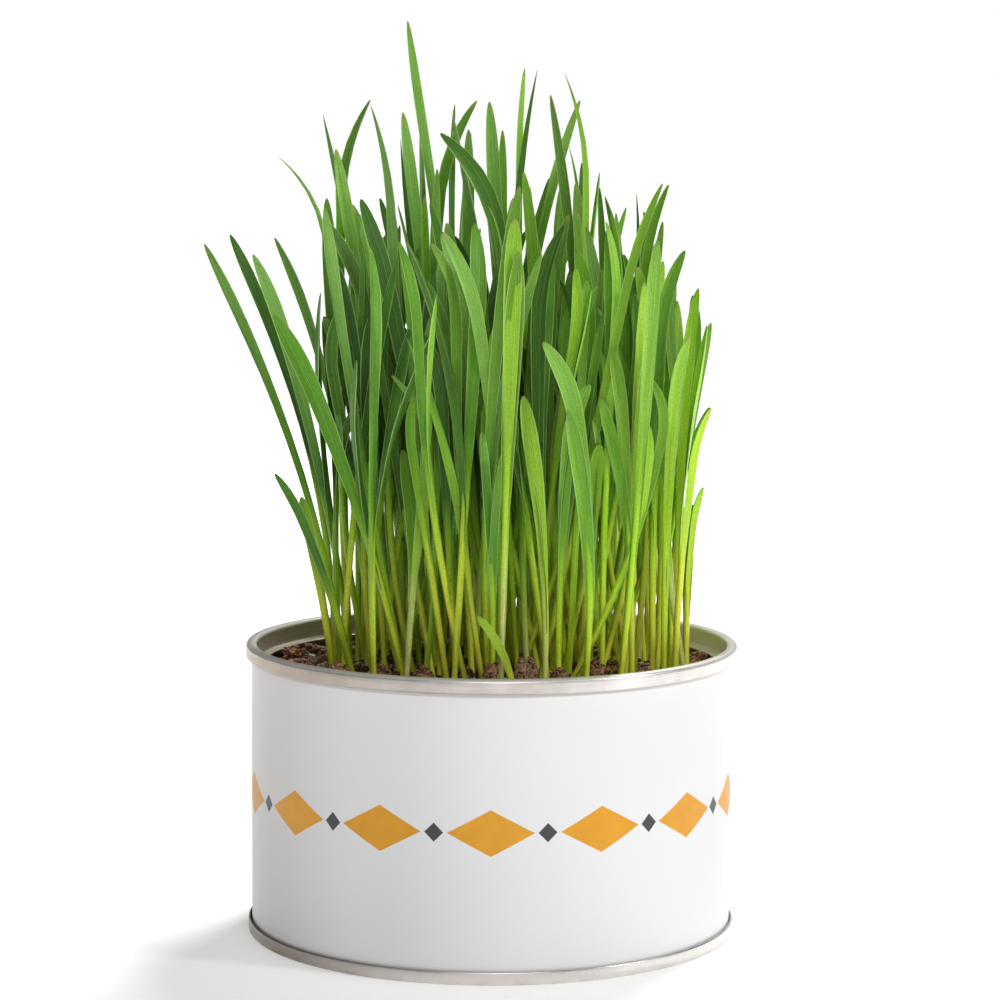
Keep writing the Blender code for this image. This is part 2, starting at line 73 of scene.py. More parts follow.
# One material and what its nodes are made with.
class Finish:
    def __init__(self, name, **constants):
        self.material = bpy.data.materials.new(name)
        self.material.use_nodes = True
        self.tree = self.material.node_tree
        self.shader = self.tree.nodes["Principled BSDF"]
        for socket, value in constants.items():
            self.shader.inputs[socket.replace("_", " ")].default_value = value

    def feed(self, socket, value):
        if isinstance(value, Number):
            self.tree.links.new(value.socket, socket)
        else:
            socket.default_value = value

    def add(self, kind, settings=None, inputs=None, output=0):
        node = self.tree.nodes.new(kind)
        for name, value in (settings or {}).items():
            setattr(node, name, value)
        for name, value in (inputs or {}).items():
            self.feed(node.inputs[name], value)
        return Number(self, node.outputs[output])

    # The piece's own x, y and z, in metres.
    def place(self):
        whole = self.add("ShaderNodeTexCoord", output="Object")
        split = self.add("ShaderNodeSeparateXYZ", None, {0: whole}).socket.node
        return [Number(self, out) for out in split.outputs]

    def read(self, attribute):
        return self.add("ShaderNodeAttribute", {"attribute_name": attribute}, output="Fac")

    def together(self, x, y, z):
        return self.add("ShaderNodeCombineXYZ", None, {0: x, 1: y, 2: z})

    def noise(self, scale, detail=2.0, roughness=0.5, at=None):
        at = at or self.add("ShaderNodeTexCoord", output="Object")
        return self.add("ShaderNodeTexNoise", None,
                        {"Scale": scale, "Detail": detail, "Roughness": roughness, "Vector": at})

    def blend(self, share, first, second, kind="MIX", clamp=False):
        first = first if isinstance(first, Number) else (*first, 1.0)
        second = second if isinstance(second, Number) else (*second, 1.0)
        settings = {"data_type": "RGBA", "blend_type": kind, "clamp_result": clamp}
        return self.add("ShaderNodeMix", settings, {0: share, 6: first, 7: second}, 2)

    def tinted(self, colour, share, first, second, clamp=False):
        return self.blend(1.0, colour, self.blend(share, first, second), "MULTIPLY", clamp)

    def show(self, colour, roughness=None, metallic=None):
        values = {"Base Color": colour, "Roughness": roughness, "Metallic": metallic}
        for name, value in values.items():
            if value is not None:
                self.feed(self.shader.inputs[name], value)

    def bump(self, height, depth, strength):
        inputs = {"Height": height, "Distance": depth, "Strength": strength}
        self.feed(self.shader.inputs["Normal"], self.add("ShaderNodeBump", None, inputs))


print("materials")

printed = {
    "white": (0.81, 0.81, 0.825),
    "ochre": (0.72, 0.32, 0.002),
    "charcoal": (0.045, 0.05, 0.05),
    # grey of bare tinplate, also used as painted shadow under the top seam
    "bareAndShadow": (0.50, 0.47, 0.45),
    "leftShade": (0.84, 0.80, 0.77),  # painted shade: the white is darker at the left side
    "leftShadeFrom": (-50.0, -26.0),  # where that painted shade is full and where it ends, in mm
    "underSeamBand": (56.5, 56.62),  # the enamel ends under the seam in a grey band: bare tinplate with painted shadow of the seam
    "radius": 49.9,  # of the wall
    "repeats": 14,  # lozenges round the tin
    "height": 30.0,  # of the row's middle
    "wide": (8.6, 4.6),  # half the ochre lozenge's width and height
    "small": (1.9, 1.9),
    "edge": 0.09,  # a lozenge's edge is this soft
}


def enamelFinish():
    f = Finish("whiteEnamel", IOR=1.5)
    x, y, z = f.place()
    around = x.angleTo(0.0 - y) * printed["radius"]  # mm round the wall from the front
    pitch = 2 * math.pi * printed["radius"] / printed["repeats"]
    along = around.wrapped(-pitch / 2, pitch / 2)
    halfway = (around + pitch / 2).wrapped(-pitch / 2, pitch / 2)
    up = z / mm - printed["height"]
    uneven = (f.noise(900.0) - 0.5) * 0.05

    def lozenge(across, half):
        far = abs(across) / half[0] + abs(up) / half[1] + uneven / half[1]
        soft = printed["edge"] / half[1]
        return far.between(1.0 - soft, 1.0 + soft, 1.0, 0.0)

    ochre = lozenge(along, printed["wide"])
    charcoal = lozenge(halfway, printed["small"])
    cloud = f.noise(38.0, 3.0).between(0.3, 0.7)
    white = f.blend(cloud, [c * 0.985 for c in printed["white"]], printed["white"])
    # painted shade: the white darkens towards the left side, away from the light
    leftShade = (x / mm).between(*printed["leftShadeFrom"]) * f.noise(14.0).between(0.3, 0.7, 0.9, 1.0)
    white = f.tinted(white, leftShade, printed["leftShade"], noTint)
    ink = f.blend(f.noise(260.0, 3.0).between(0.3, 0.7), printed["ochre"],
                  [c * 1.08 for c in printed["ochre"]])
    colour = f.blend(charcoal, f.blend(ochre, white, ink), printed["charcoal"])
    # a grey band under the seam: bare tinplate, darkened further as painted shadow cast by the seam
    colour = f.blend((z / mm).between(*printed["underSeamBand"]) * 0.6, colour, printed["bareAndShadow"])
    rough = f.noise(60.0).between(0.2, 0.8, 0.3, 0.34) + ochre * 0.07 + charcoal * 0.05
    f.show(colour, rough)
    peel = f.noise(420.0) * 0.6 + f.noise(1500.0, 1.0) * 0.15
    f.bump(peel + (ochre + charcoal) * 0.8, 0.00003, 0.5)
    return f.material


tinplateColours = {
    "dark": (0.475, 0.435, 0.405), "light": (0.57, 0.53, 0.495),  # its patches
    "scratch": (0.42, 0.42, 0.41),
    "stain": (0.30, 0.26, 0.22),
    # painted reflection: the base seam is paler, standing in for the white floor it reflects
    "baseSeam": (0.82, 0.79, 0.76),
    "inside": (0.72, 0.70, 0.66),
    "crestHighlight": (0.86, 0.84, 0.80),  # painted highlight: the top of the seam is made pale and dull
    # painted shade at the left end and painted light at the right end, each on the base seam and
    # above it
    "left": ((0.45, 0.42, 0.38), (0.76, 0.72, 0.65)),
    "right": ((1.08, 1.1, 1.12), (1.4, 1.45, 1.52)),
}


def tinplateFinish():
    f, tone = Finish("tinplate", Metallic=1.0), tinplateColours
    x, y, z = f.place()
    side, high = x / mm, z / mm
    out = (x * x + y * y) ** 0.5
    lines = f.noise(1.0, 5.0, 0.65, f.together(x.angleTo(y) * 3.0, out * 5200.0, z * 5200.0))
    patches = f.noise(170.0, 3.0)
    stain = high.between(0.2, 1.6, 1.0, 0.0) * f.noise(240.0, 3.0).between(0.4, 0.62)
    inside = (out / mm).between(49.3, 49.8, 1.0, 0.0) * high.between(20.0, 25.0)
    crestHighlight = high.between(59.4, 60.1)
    above = high.between(4.0, 6.0)  # above the base seam
    colour = f.blend(patches.between(0.3, 0.7), tone["dark"], tone["light"])
    colour = f.blend(lines.between(0.52, 0.75) * 0.35, colour, tone["scratch"])
    colour = f.blend(stain * 0.55, colour, tone["stain"])
    # painted reflection: the base seam is made paler, as if it reflected the white floor
    colour = f.blend((1.0 - above) * 0.6, colour, tone["baseSeam"])
    colour = f.blend(inside * 0.6, colour, tone["inside"])
    left, right = (f.blend(above, *tone[end]) for end in ("left", "right"))
    # painted shade darkens the metal at the left, painted light brightens it at the right
    colour = f.tinted(colour, side.between(-46.0, -8.0), left, noTint)
    colour = f.tinted(colour, side.between(0.0, 26.0), noTint, right)
    # painted highlight along the top of the seam: paler and less metallic
    colour = f.blend(crestHighlight * 0.7, colour, tone["crestHighlight"])
    f.show(colour, lines.between(0.25, 0.75, 0.2, 0.36) + patches * 0.1 + stain * 0.2,
           1.0 - inside * 0.45 - crestHighlight * 0.6)
    f.bump(lines, 0.00002, 0.35)
    return f.material


mixColours = {  # the darkest and the lightest of each kind of bit
    "dark": ((0.020, 0.012, 0.008), (0.24, 0.14, 0.08)),
    "warm": ((0.10, 0.04, 0.02), (0.62, 0.32, 0.175)),
    "tan": ((0.26, 0.16, 0.09), (0.84, 0.66, 0.45)),
    "pale": ((0.5, 0.46, 0.38), (0.75, 0.72, 0.66)),
}


# The mix itself, and the loose bits on it, which carry their own tint.
def mixFinish(name, tinted):
    f = Finish(name, Specular_IOR_Level=0.3)
    fine = f.noise(1900.0, 3.0, 0.7)
    dark = f.blend(fine.between(0.42, 0.62), *mixColours["dark"])
    warm = f.blend(fine.between(0.4, 0.6), *mixColours["warm"])
    if tinted:
        tint = f.read("tint")
        tan = f.blend(fine.between(0.4, 0.6), *mixColours["tan"])
        pale = f.blend(fine.between(0.3, 0.7), *mixColours["pale"])
        colour = f.blend(tint.between(0.28, 0.42), dark, warm)
        colour = f.blend(tint.between(0.66, 0.78), colour, tan)
        colour = f.blend(tint.between(0.93, 0.97), colour, pale)
    else:
        colour = f.blend(f.noise(260.0, 3.0).between(0.5, 0.68), dark, warm)
    f.show(colour, fine.between(0.3, 0.7, 0.98, 0.75))
    f.bump(fine + f.noise(700.0), 0.0006, 1.0)
    return f.material


leafColours = {
    "white": (0.72, 0.80, 0.42),  # the sheath of some stems, at the soil
    "foot": (0.92, 0.97, 0.075),
    "stem": (0.48, 0.84, 0.022),
    # dark green of dark-toned leaves, also used as painted shade towards the left
    "darkToneAndShade": (0.032, 0.155, 0.005),
    "blade": (0.145, 0.435, 0.012),
    # painted light: yellow-green of low leaves lit through from the right
    "sunny": (0.38, 0.72, 0.018),
    "waxAndSheen": (0.25, 0.55, 0.09),  # the bluish wax on some blades, with a painted sky reflection on the upper blades, strongest at the left
    "margin": (0.55, 0.80, 0.28),
    "dry": (0.55, 0.50, 0.15),
}


leafTints = {
    "lit": ((0.84, 0.89, 0.80), (1.27, 1.12, 1.4)),  # low at the left, high at the right
    "leaf": ((0.57, 0.60, 0.55), (1.5, 1.34, 1.58)),  # from leaf to leaf
    "uneven": ((0.58, 0.61, 0.50), (1.2, 1.18, 1.25)),  # over each leaf
    "stemHighlight": ((1.08, 1.06, 1.1), (1.5, 1.42, 1.55)),  # painted highlight down the middle of each stem: weaker at the left, stronger at the right
    # painted shade along the sides of each stem
    "stemSideShade": (0.6, 0.68, 0.52),
}


def grassFinish():
    f = Finish("grass", Subsurface_Weight=0.08, Subsurface_Scale=0.0008,
               Subsurface_Radius=(0.5, 1.0, 0.1), Specular_IOR_Level=0.3)
    x, y, z = f.place()
    side, high = x / mm, z / mm
    names = ("across", "along", "opened", "tone", "share")
    across, along, opened, tone, share = (f.read(name) for name in names)
    other, third = ((tone * turns).sine() * 0.5 + 0.5 for turns in (57.0, 131.0))
    streaks = f.noise(1.0, 4.0, 0.7, f.together(across * 11.0, along * 0.05, tone * 40.0))
    broad = f.noise(1.0, 2.0, 0.5, f.together(across * 0.8, along * 0.06, tone * 70.0))
    grain = f.noise(2600.0)
    veins = ((across * 34.0).sine() * 0.5 + 0.5) ** 2.0
    rise = high + (other - 0.5) * 22.0  # the pale foot ends higher on some
    foot = f.blend(tone.between(0.86, 0.97) * 0.6, leafColours["foot"], leafColours["white"])
    colour = f.blend(rise.between(50.0, 92.0), foot, leafColours["stem"])
    # painted light and shade: leaves are lighter and yellower to the right and darker to the left,
    # mixed with each leaf's own tone
    sun = side.between(-20.0, 46.0) * 0.6 + (tone - 0.5) + (broad - 0.5) * 0.4
    light = f.blend(sun.between(-0.5, 0.3, smooth=False), leafColours["darkToneAndShade"], leafColours["blade"])
    low = rise.between(90.0, 150.0, 1.0, 0.25)
    light = f.blend(sun.between(0.1, 0.9, smooth=False) * low, light, leafColours["sunny"])
    # real bluish wax, plus painted sky reflection: stronger high up and towards the left
    waxAndSheen = other.between(0.4, 0.95) * high.between(85.0, 130.0)
    light = f.blend(waxAndSheen * side.between(-40.0, 40.0, 0.75, 0.35), light, leafColours["waxAndSheen"])
    lit = side.between(-35.0, 45.0) * 0.55 + high.between(95.0, 160.0) * 0.45
    light = f.tinted(light, lit, *leafTints["lit"])
    light = f.tinted(light, third, *leafTints["leaf"])
    green = rise.between(62.0, 112.0) * (opened * 0.4 + 0.6) + opened * 0.45
    colour = f.blend(green, colour, light)
    uneven = streaks.between(0.3, 0.7) * 0.7 + grain.between(0.3, 0.7) * 0.3
    colour = f.tinted(colour, uneven, *leafTints["uneven"])
    colour = f.blend(veins * opened * 0.1, colour, leafColours["margin"])
    stem, off = 1.0 - opened, abs(across)
    # painted highlight down each stem's middle, brighter to the right, and painted shade along its
    # sides
    middle = f.blend(side.between(-15.0, 38.0) * stem, *leafTints["stemHighlight"])
    colour = f.tinted(colour, off.between(0.35, 1.0) * stem, middle, leafTints["stemSideShade"], True)
    # the pale edge of each blade: its real paler margin, brightened further as a painted highlight
    marginAndHighlight = off.between(0.86, 0.98) * opened * 0.7
    rib = off.between(0.0, 0.06, 1.0, 0.0) * opened * 0.3
    colour = f.blend(marginAndHighlight, colour, leafColours["margin"])
    colour = f.blend(rib, colour, leafColours["margin"])
    tip = share.between(0.975, 1.0) * tone.between(0.45, 0.7)
    colour = f.blend(tip * 0.5, colour, leafColours["dry"])
    f.show(colour, broad.between(0.3, 0.7, 0.27, 0.42))
    f.bump(veins * 0.7 + streaks * 0.8 + grain * 0.25, 0.00013, 0.8)
    return f.material


enamel = enamelFinish()
tinplate = tinplateFinish()
pottingMix = mixFinish("pottingMix", False)
mixBits = mixFinish("mixBits", True)
grassGreen = grassFinish()


def deselectAll():
    if bpy.context.object and bpy.context.object.mode != "OBJECT":
        bpy.ops.object.mode_set(mode="OBJECT")
    bpy.ops.object.select_all(action="DESELECT")


def pick(piece):
    deselectAll()
    piece.hide_set(False)
    piece.select_set(True)
    bpy.context.view_layer.objects.active = piece


# A closed outline of (radius, height, rounding) with its corners rounded.
def rounded(outline, steps=4):
    made = []
    for i, (r, z, radius) in enumerate(outline):
        if radius == 0:
            made.append((r, z))
            continue
        here = np.array((r, z))
        ends = []
        for other in (outline[i - 1], outline[(i + 1) % len(outline)]):
            way = np.array(other[:2]) - here
            length = np.linalg.norm(way)
            ends.append(here + way / length * min(radius, 0.49 * length))
        for t in np.linspace(0, 1, steps + 1):
            made.append(tuple((1 - t) ** 2 * ends[0] + 2 * t * (1 - t) * here + t * t * ends[1]))
    return made


def faceOutwards():
    bpy.ops.mesh.select_all(action="SELECT")
    bpy.ops.mesh.normals_make_consistent(inside=False)
    bpy.ops.object.mode_set(mode="OBJECT")


def editNothing(piece, kind):
    pick(piece)
    bpy.ops.object.mode_set(mode="EDIT")
    bpy.ops.mesh.select_mode(type=kind)
    bpy.ops.mesh.select_all(action="DESELECT")


def deleteFaces(piece, chosen, kind):
    editNothing(piece, "FACE")
    bpy.ops.object.mode_set(mode="OBJECT")
    for face in piece.data.polygons:
        face.select = chosen(face)
    bpy.ops.object.mode_set(mode="EDIT")
    bpy.ops.mesh.delete(type=kind)


# A ring is extruded from point to point of the outline, as on a lathe.
def turnedPiece(name, outline, facets, closed=True):
    deselectAll()
    at = outline[0]
    bpy.ops.mesh.primitive_circle_add(vertices=facets, radius=at[0] * mm,
                                      location=(0, 0, at[1] * mm))
    piece = bpy.context.object
    piece.name = piece.data.name = name
    bpy.ops.object.mode_set(mode="EDIT")
    bpy.ops.mesh.select_all(action="SELECT")
    if not closed:
        bpy.ops.mesh.edge_face_add()
    for r, z in outline[1:] + outline[:1] * closed:
        bpy.ops.mesh.extrude_edges_move(
            TRANSFORM_OT_translate={"value": (0, 0, (z - at[1]) * mm)})
        if r == 0:
            bpy.ops.mesh.merge(type="CENTER")
            break
        bpy.ops.transform.resize(value=(r / at[0], r / at[0], 1), center_override=(0, 0, 0))
        at = (r, z)
    bpy.ops.mesh.select_all(action="SELECT")
    bpy.ops.mesh.remove_doubles(threshold=0.000002)
    faceOutwards()
    bpy.ops.object.transform_apply(location=True, rotation=True, scale=True)
    return piece


def finishPiece(piece, slotName, *nodes, angle=40):
    pick(piece)
    bpy.ops.object.shade_smooth_by_angle(angle=math.radians(angle))
    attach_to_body(piece, "root")
    if nodes:
        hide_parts(*nodes)


print("tin")

tin = {
    "height": 60.3, "bodyRadius": 49.9, "plate": 0.3, "facets": 192,
    "topSeam": 51.0, "topSeamHeight": 3.0, "lipDrop": 4.0, "lipInner": 47.2,
    "baseSeam": 50.7, "baseSeamHeight": 2.7,
    "hookIn": 0.6, "hookOut": 0.3, "seamLeg": 0.5,  # how each seam is folded over the wall
    "chuckHeight": 3.4, "panelHeight": 2.3, "panelStep": 30.0, "panelCentre": 1.0,
    "panelMiddle": 18.0, "bead": 0.5, "bend": 0.6,
}


def makeBody():
    r, inner = tin["bodyRadius"], tin["bodyRadius"] - tin["plate"]
    top, bottom = tin["height"] - 1.4, 1.0
    wall = [(r, z) for z in np.linspace(bottom, top, 13)]
    outline = [*wall, (inner, top), (inner, bottom)]
    body = turnedPiece("tinWall", outline, tin["facets"])
    body.data.materials.append(enamel)
    body.data.materials.append(tinplate)
    for face in body.data.polygons:
        outwards = face.normal.x * face.center.x + face.normal.y * face.center.y
        face.material_index = 0 if outwards > 0.5 * r * mm else 1
    finishPiece(body, "white_enamel", "tin_body", angle=30)


def makeTopSeam():
    height, out, plate = tin["height"], tin["topSeam"], tin["plate"]
    leg, skirt = tin["bodyRadius"] - tin["hookIn"], tin["bodyRadius"] + tin["hookOut"]
    inner, low = leg - tin["seamLeg"], height - tin["topSeamHeight"]
    lip, lipIn = height - tin["lipDrop"], tin["lipInner"]
    outline = [
        (out, low, 0.45), (out + 0.02, low + 1.3, 0), (out, height, 1.0),
        (inner, height, 1.0), (inner, height - 1.6, 0), (inner, lip, 0.5),
        (lipIn + 0.9, lip - 0.2, 0.3), (lipIn, lip - plate - 0.05, 0.12),
        (lipIn, lip - 2 * plate, 0.12), (leg, lip - plate, 0.3),
        (leg, height - 1.1, 0.1), (skirt, height - 1.1, 0.1), (skirt, low, 0.15),
    ]
    seam = turnedPiece("topSeam", rounded(outline, 6), tin["facets"])
    seam.data.materials.append(tinplate)
    finishPiece(seam, "tinplate", "top_seam", angle=50)


def makeBaseEnd():
    out, high, plate, lip = tin["baseSeam"], tin["baseSeamHeight"], tin["plate"], tin["lipInner"]
    leg, skirt = tin["bodyRadius"] - tin["hookIn"], tin["bodyRadius"] + tin["hookOut"]
    inner, chuck, middle = leg - tin["seamLeg"], tin["chuckHeight"], tin["panelMiddle"]
    panel, centre, step = tin["panelHeight"], tin["panelCentre"], tin["panelStep"]
    bead, bend = tin["bead"], tin["bend"]

    def underside(rise):
        # from the panel's middle out to the chuck wall, with two low beads pressed in
        return [
            (middle, centre + rise, 0), (step - 10.5, centre + bead + rise, bend),
            (step - 9.0, centre + rise, bend), (step - 1.5, centre + rise, bend),
            (step, panel + rise, bend), (lip - 7.5, panel + rise, bend),
            (lip - 6.0, panel - bead + rise, bend), (lip - 4.5, panel + rise, bend),
            (lip - 0.8, panel + rise, 0.4), (lip, chuck + rise, 0.3),
        ]

    outside = [
        (skirt, high, 0.1), (out - 0.1, high, 0.35), (out, 1.3, 0), (out - 0.1, 0.0, 0.5),
        (inner + 0.1, 0.0, 0.4), (inner - 0.3, chuck, 0.3), *reversed(underside(0.0)),
    ]
    inside = [*underside(plate), (leg, chuck + plate, 0.2), (leg, 0.7, 0.1), (skirt, 0.7, 0.1)]
    base = turnedPiece("baseEnd", rounded([*outside, *inside], 4), tin["facets"])
    # the ring's short inner wall comes out, and each side of the panel is closed across

    def onWall(face):
        ring = [math.hypot(*base.data.vertices[v].co.xy) for v in face.vertices]
        return max(ring) < middle * mm + 0.00001

    deleteFaces(base, onWall, "ONLY_FACE")
    editNothing(base, "EDGE")
    bpy.ops.mesh.select_non_manifold()
    bpy.ops.mesh.fill()
    faceOutwards()
    base.data.materials.append(tinplate)
    finishPiece(base, "tinplate", "base_end", angle=50)


makeBody()
makeTopSeam()
makeBaseEnd()


print("grass")

roundTip, longTip = (0.78, 2.0), (0.25, 1.1)  # where the taper starts, and its power
grass = {
    "shootsPerTuft": 7, "shootsInFront": 3, "frontLine": -20.0,
    "rootEnd": 49.0, "rootMargin": 1.5, "rootPlay": 1.6, "rootBall": 7.6, "patchShift": 4.0,
    "stemFoot": 1.35, "stemNeck": 1.7, "stemDepth": 1.4, "bladeThickness": 0.6, "fold": 0.11,
    "opening": 0.85, "thinning": 0.3,  # the shares of a blade over which it widens and thins
    "bluntness": 0.8, "curlStart": 0.8,
    "spread": 39.0, "spreadRise": 0.04, "wallClearance": 1.0,
    "seed": 7, "toneSeed": 31,
    "tufts": ((1, 0.0, 0), (6, 16.4, 0), (12, 32.6, 15)),  # count, radius, first angle
    "mixTop": 54.2, "mixRelief": 0.9,
    "shownThickness": 0.34,  # of a blade at its midrib
    "keel": 3.0,  # how much deeper its fold is than the CAD's
    "shownFoot": 1.15, "shownNeck": 1.5, "shownShare": 0.88,  # of the CAD's width
    "shownTip": (0.81, 2.0, 0.53), "shownPoint": (0.3, 1.4, 0.75),  # blunter than the CAD's
    "opensOver": 0.38, "ripple": 0.12, "rippleTurns": 15,
}

# How the space over the tin is searched for free cells: for the CAD's shoots, and for the slim
# ones between them, which need less room.
coarse = {
    "cell": 0.8, "samples": 150, "lineSamples": 60, "gap": True,
    "tries": 160, "sideTries": 40, "sideDrop": 3.0,
}
fine = {
    "cell": 0.5, "samples": 300, "lineSamples": 90, "gap": False,
    "tries": 70, "sideTries": 12, "sideDrop": -math.inf,
}
space = {"low": (-80.0, -80.0, 40.0), "side": 160.0}

# Where each shoot that stands out is rooted (x, y), where its tall leaf ends (x, z), its
# bow, the curl of its tip, its width and its kind of tip where that isn't round, in mm.
outlineShoots = (
    (-30, 16, -25, 172, -1, 6, 3.2), (-12, 26, -4, 172, -2, 6, 2.6),
    (-31, 10, -44, 161, 1, -8, 3.6, longTip), (-30, -4, -58, 142, 5, 0, 2.8),
    (-32, 8, -55, 145, 6, 0, 2.8), (-30, 2, -49, 141, 3, -1, 3.3),
    (-16, -18, -45, 129, 3, -1, 4.3), (-24, 6, -45, 144, 4, -1, 3.3),
    (-19, 14, -36, 170, 4, 1, 3.8, longTip), (-22, 10, -32, 161, 3, 0, 3.2),
    (-21, 2, -25, 170, 1, -3, 3.4, longTip), (-8, 16, -18, 189, 4, 1, 2.6),
    (-6, 24, -16, 175, 2, 0, 1.8, longTip), (-12, 20, -19, 170, 3, 0, 3.2),
    (-14, 12, -19, 165, 2, 1, 2.8, longTip), (8, -4, -11, 166, 3, -8, 4.2),
    (-4, 10, -5, 167, 0, 0, 3.4), (4, 6, -1, 172, 1, 0, 3.4),
    (2, 14, 2, 167, 0, 0, 2.4), (5, 26, 7, 179, -1, 1, 2.4),
    (4, 20, 9, 179, -2, 1, 2.8, longTip), (22, 14, 15, 177, 0, -5, 3.4, longTip),
    (20, 28, 15, 163, 0, -3, 2.2, longTip), (13, 6, 15, 156, -1, 0, 3.6),
    (18, 24, 18, 159, 0, 0, 2.2), (24, 20, 22, 155, 1, 0, 2.4),
    (30, 4, 23, 152, 3, -1, 3.0), (26, 10, 30, 154, -2, -2, 2.6, longTip),
    (29, -2, 36, 155, 0, 4, 3.0), (32, -10, 39, 141, -1, 4, 3.2),
    (39, -6, 42, 134, -1, 1, 3.0), (38, 2, 45, 126, -2, 0, 2.8),
    (34, -14, 39, 125, -1, 2, 2.8), (42, -2, 43, 93, -1, 1, 2.8),
    (38, -10, 44, 112, -1, 2, 2.8), (-29, -10, -43, 98, 2, -1, 2.2),
    (-31, -6, -38, 91, 1, 0, 2.8), (-34, 5, -40, 120, 1, 0, 2.6),
    (11, -29, 6, 114, 2, 0, 4.0), (13, -26, 19, 116, -1, 3, 3.4),
    (0, -27, -2, 106, 1, 0, 3.0), (-18, -28, -11, 106, -1, 1, 3.4),
    (-13, -15, -27, 151, 3, -1, 4.2), (-22, -26, -24, 142, -1, -2, 3.6),
    (-22, -12, -34, 140, 2, -1, 4.2), (-13, 3, -29, 150, 3, -1, 3.6),
    (2, -10, -13, 144, 2, -4, 4.0), (-2, 2, -13, 151, 2, -1, 3.6),
    (3, -32, 4, 148, 0, 0, 4.2), (10, -20, 15, 146, -1, 5, 4.0),
    (19, -14, 16, 142, 1, -2, 3.8), (24, -5, 18, 146, 2, -1, 3.4),
    (27, -21, 24, 122, 1, -1, 3.0), (28, -18, 30, 136, 0, 0, 3.2),
    (33, 10, 28, 140, 2, -1, 3.0),
)


def smooth(share):
    share = np.clip(share, 0.0, 1.0)
    return share * share * (3 - 2 * share)


# A centre line with a width, a thickness and a facing at every share of its length.
class Leaf:
    def __init__(self, points, width, taper, collar, face, twist):
        self.points = points
        self.width = width
        self.taper = taper
        self.collar = collar  # the share up to which it is a round stem
        self.face = face
        self.twist = twist

    # The share of the blade at t, how far it has opened there, and its width.
    def widths(self, t, foot, neck, width, start, power, bluntness):
        u = (t - self.collar) / (1 - self.collar)
        opened = smooth(u / grass["opening"])
        wide = foot + (neck - foot) * smooth(t / max(self.collar, 0.01))
        wide = wide + (width - wide) * opened
        narrowing = np.clip((u - start) / (1 - start), 0, 1) ** power
        return u, opened, wide * (1 - narrowing) ** bluntness

    def size(self, t):
        u, opened, wide = self.widths(t, grass["stemFoot"], grass["stemNeck"], self.width,
                                      *self.taper, grass["bluntness"])
        depth = grass["stemDepth"]
        thick = depth + (grass["bladeThickness"] - depth) * smooth(u / grass["thinning"])
        return wide, thick, grass["fold"] * wide * opened

    # The width as it shows: the same, with a tip as blunt as the real one's.
    def shownWidth(self, t):
        tip = grass["shownTip" if self.taper is roundTip else "shownPoint"]
        return self.widths(t, grass["shownFoot"], grass["shownNeck"],
                           self.width * grass["shownShare"], *tip)[2]

    def frame(self, t):
        step = 0.01
        ahead = self.points(np.minimum(t + step, 1.0)) - self.points(np.maximum(t - step, 0.0))
        ahead = ahead / np.linalg.norm(ahead, axis=1)[:, None]
        sideways = np.array((1.0, 0.0, 0.0))
        across = sideways - (ahead @ sideways)[:, None] * ahead
        across = across / np.linalg.norm(across, axis=1)[:, None]
        through = np.cross(ahead, across)
        turn = self.face + self.twist * t
        c, s = np.cos(turn)[:, None], np.sin(turn)[:, None]
        return self.points(t), across * c + through * s, through * c - across * s

    def corners(self, t):
        centre, across, through = self.frame(t)
        wide, thick, fold = self.size(t)
        front = centre - through * (thick / 2)[:, None]
        half = across * (wide / 2)[:, None]
        return front - half, front + through * (thick + fold)[:, None], front + half

    def surface(self, t):
        left, rib, right = self.corners(t)
        return np.concatenate(
            [left, right, rib, (left + right) / 2, (left + rib) / 2, (right + rib) / 2]
            + [left * 0.75 + right * 0.25, left * 0.25 + right * 0.75])


def stemLine(root, tip, bow, curl):
    def points(t):
        t = t[:, None]
        last = np.clip((t - grass["curlStart"]) / (1 - grass["curlStart"]), 0, 1) ** 2
        return root + t * (tip - root) + 4 * t * (1 - t) * bow + last * curl
    return points


def sideLine(start, ahead, tip):
    middle = start + ahead * (0.5 * np.linalg.norm(tip - start))

    def points(t):
        t = t[:, None]
        return (1 - t) ** 2 * start + 2 * t * (1 - t) * middle + t * t * tip
    return points


def outlineLeaf(draw, row, centre):
    rootX, rootY, tipX, tipZ, bow, curl, width, taper = (*row, roundTip)[:8]
    play = grass["rootPlay"]
    rootX += draw.uniform(-play, play) - centre[0]
    rootY += draw.uniform(-play, play) - centre[1]
    pull = min(1.0, (grass["rootBall"] - grass["rootMargin"]) / math.hypot(rootX, rootY))
    root = np.array((centre[0] + rootX * pull, centre[1] + rootY * pull, grass["rootEnd"]))
    depth = root[1] * draw.uniform(0.8, 1.5) + draw.uniform(-10, 10)
    curlTo = np.array((curl, 0.5 * curl, -0.4 * abs(curl)))
    tip = np.array((tipX + draw.uniform(-0.8, 0.8), depth, tipZ + draw.uniform(-1, 1))) - curlTo
    bowTo = np.array((bow, draw.uniform(-4, 4), 0.0))
    face = math.radians(draw.uniform(-35, 35))
    twist = math.radians(draw.uniform(-40, 40))
    collar = draw.uniform(0.3, 0.45)
    return Leaf(stemLine(root, tip, bowTo, curlTo), width, taper, collar, face, twist)


# The rest of a leaf that is drawn by rule, once its root, height and lean are known.
def drawnByRule(draw, rule, root, height, lean, unit):
    tip = root + lean + np.array((0.0, 0.0, height))
    bowTo = np.array((draw.uniform(-4, 4), draw.uniform(-4, 4), 0.0)) + rule["bow"] * lean
    curlTo = np.array((draw.uniform(-5, 5), draw.uniform(-5, 5), -1.0))
    face = math.radians(draw.gauss(0, rule["face"]))
    twist = math.radians(draw.uniform(-rule["twist"], rule["twist"]))
    width, collar = draw.uniform(*rule["width"]), draw.uniform(*rule["collar"]) / unit
    return Leaf(stemLine(root, tip, bowTo, curlTo), width, roundTip, collar, face, twist)


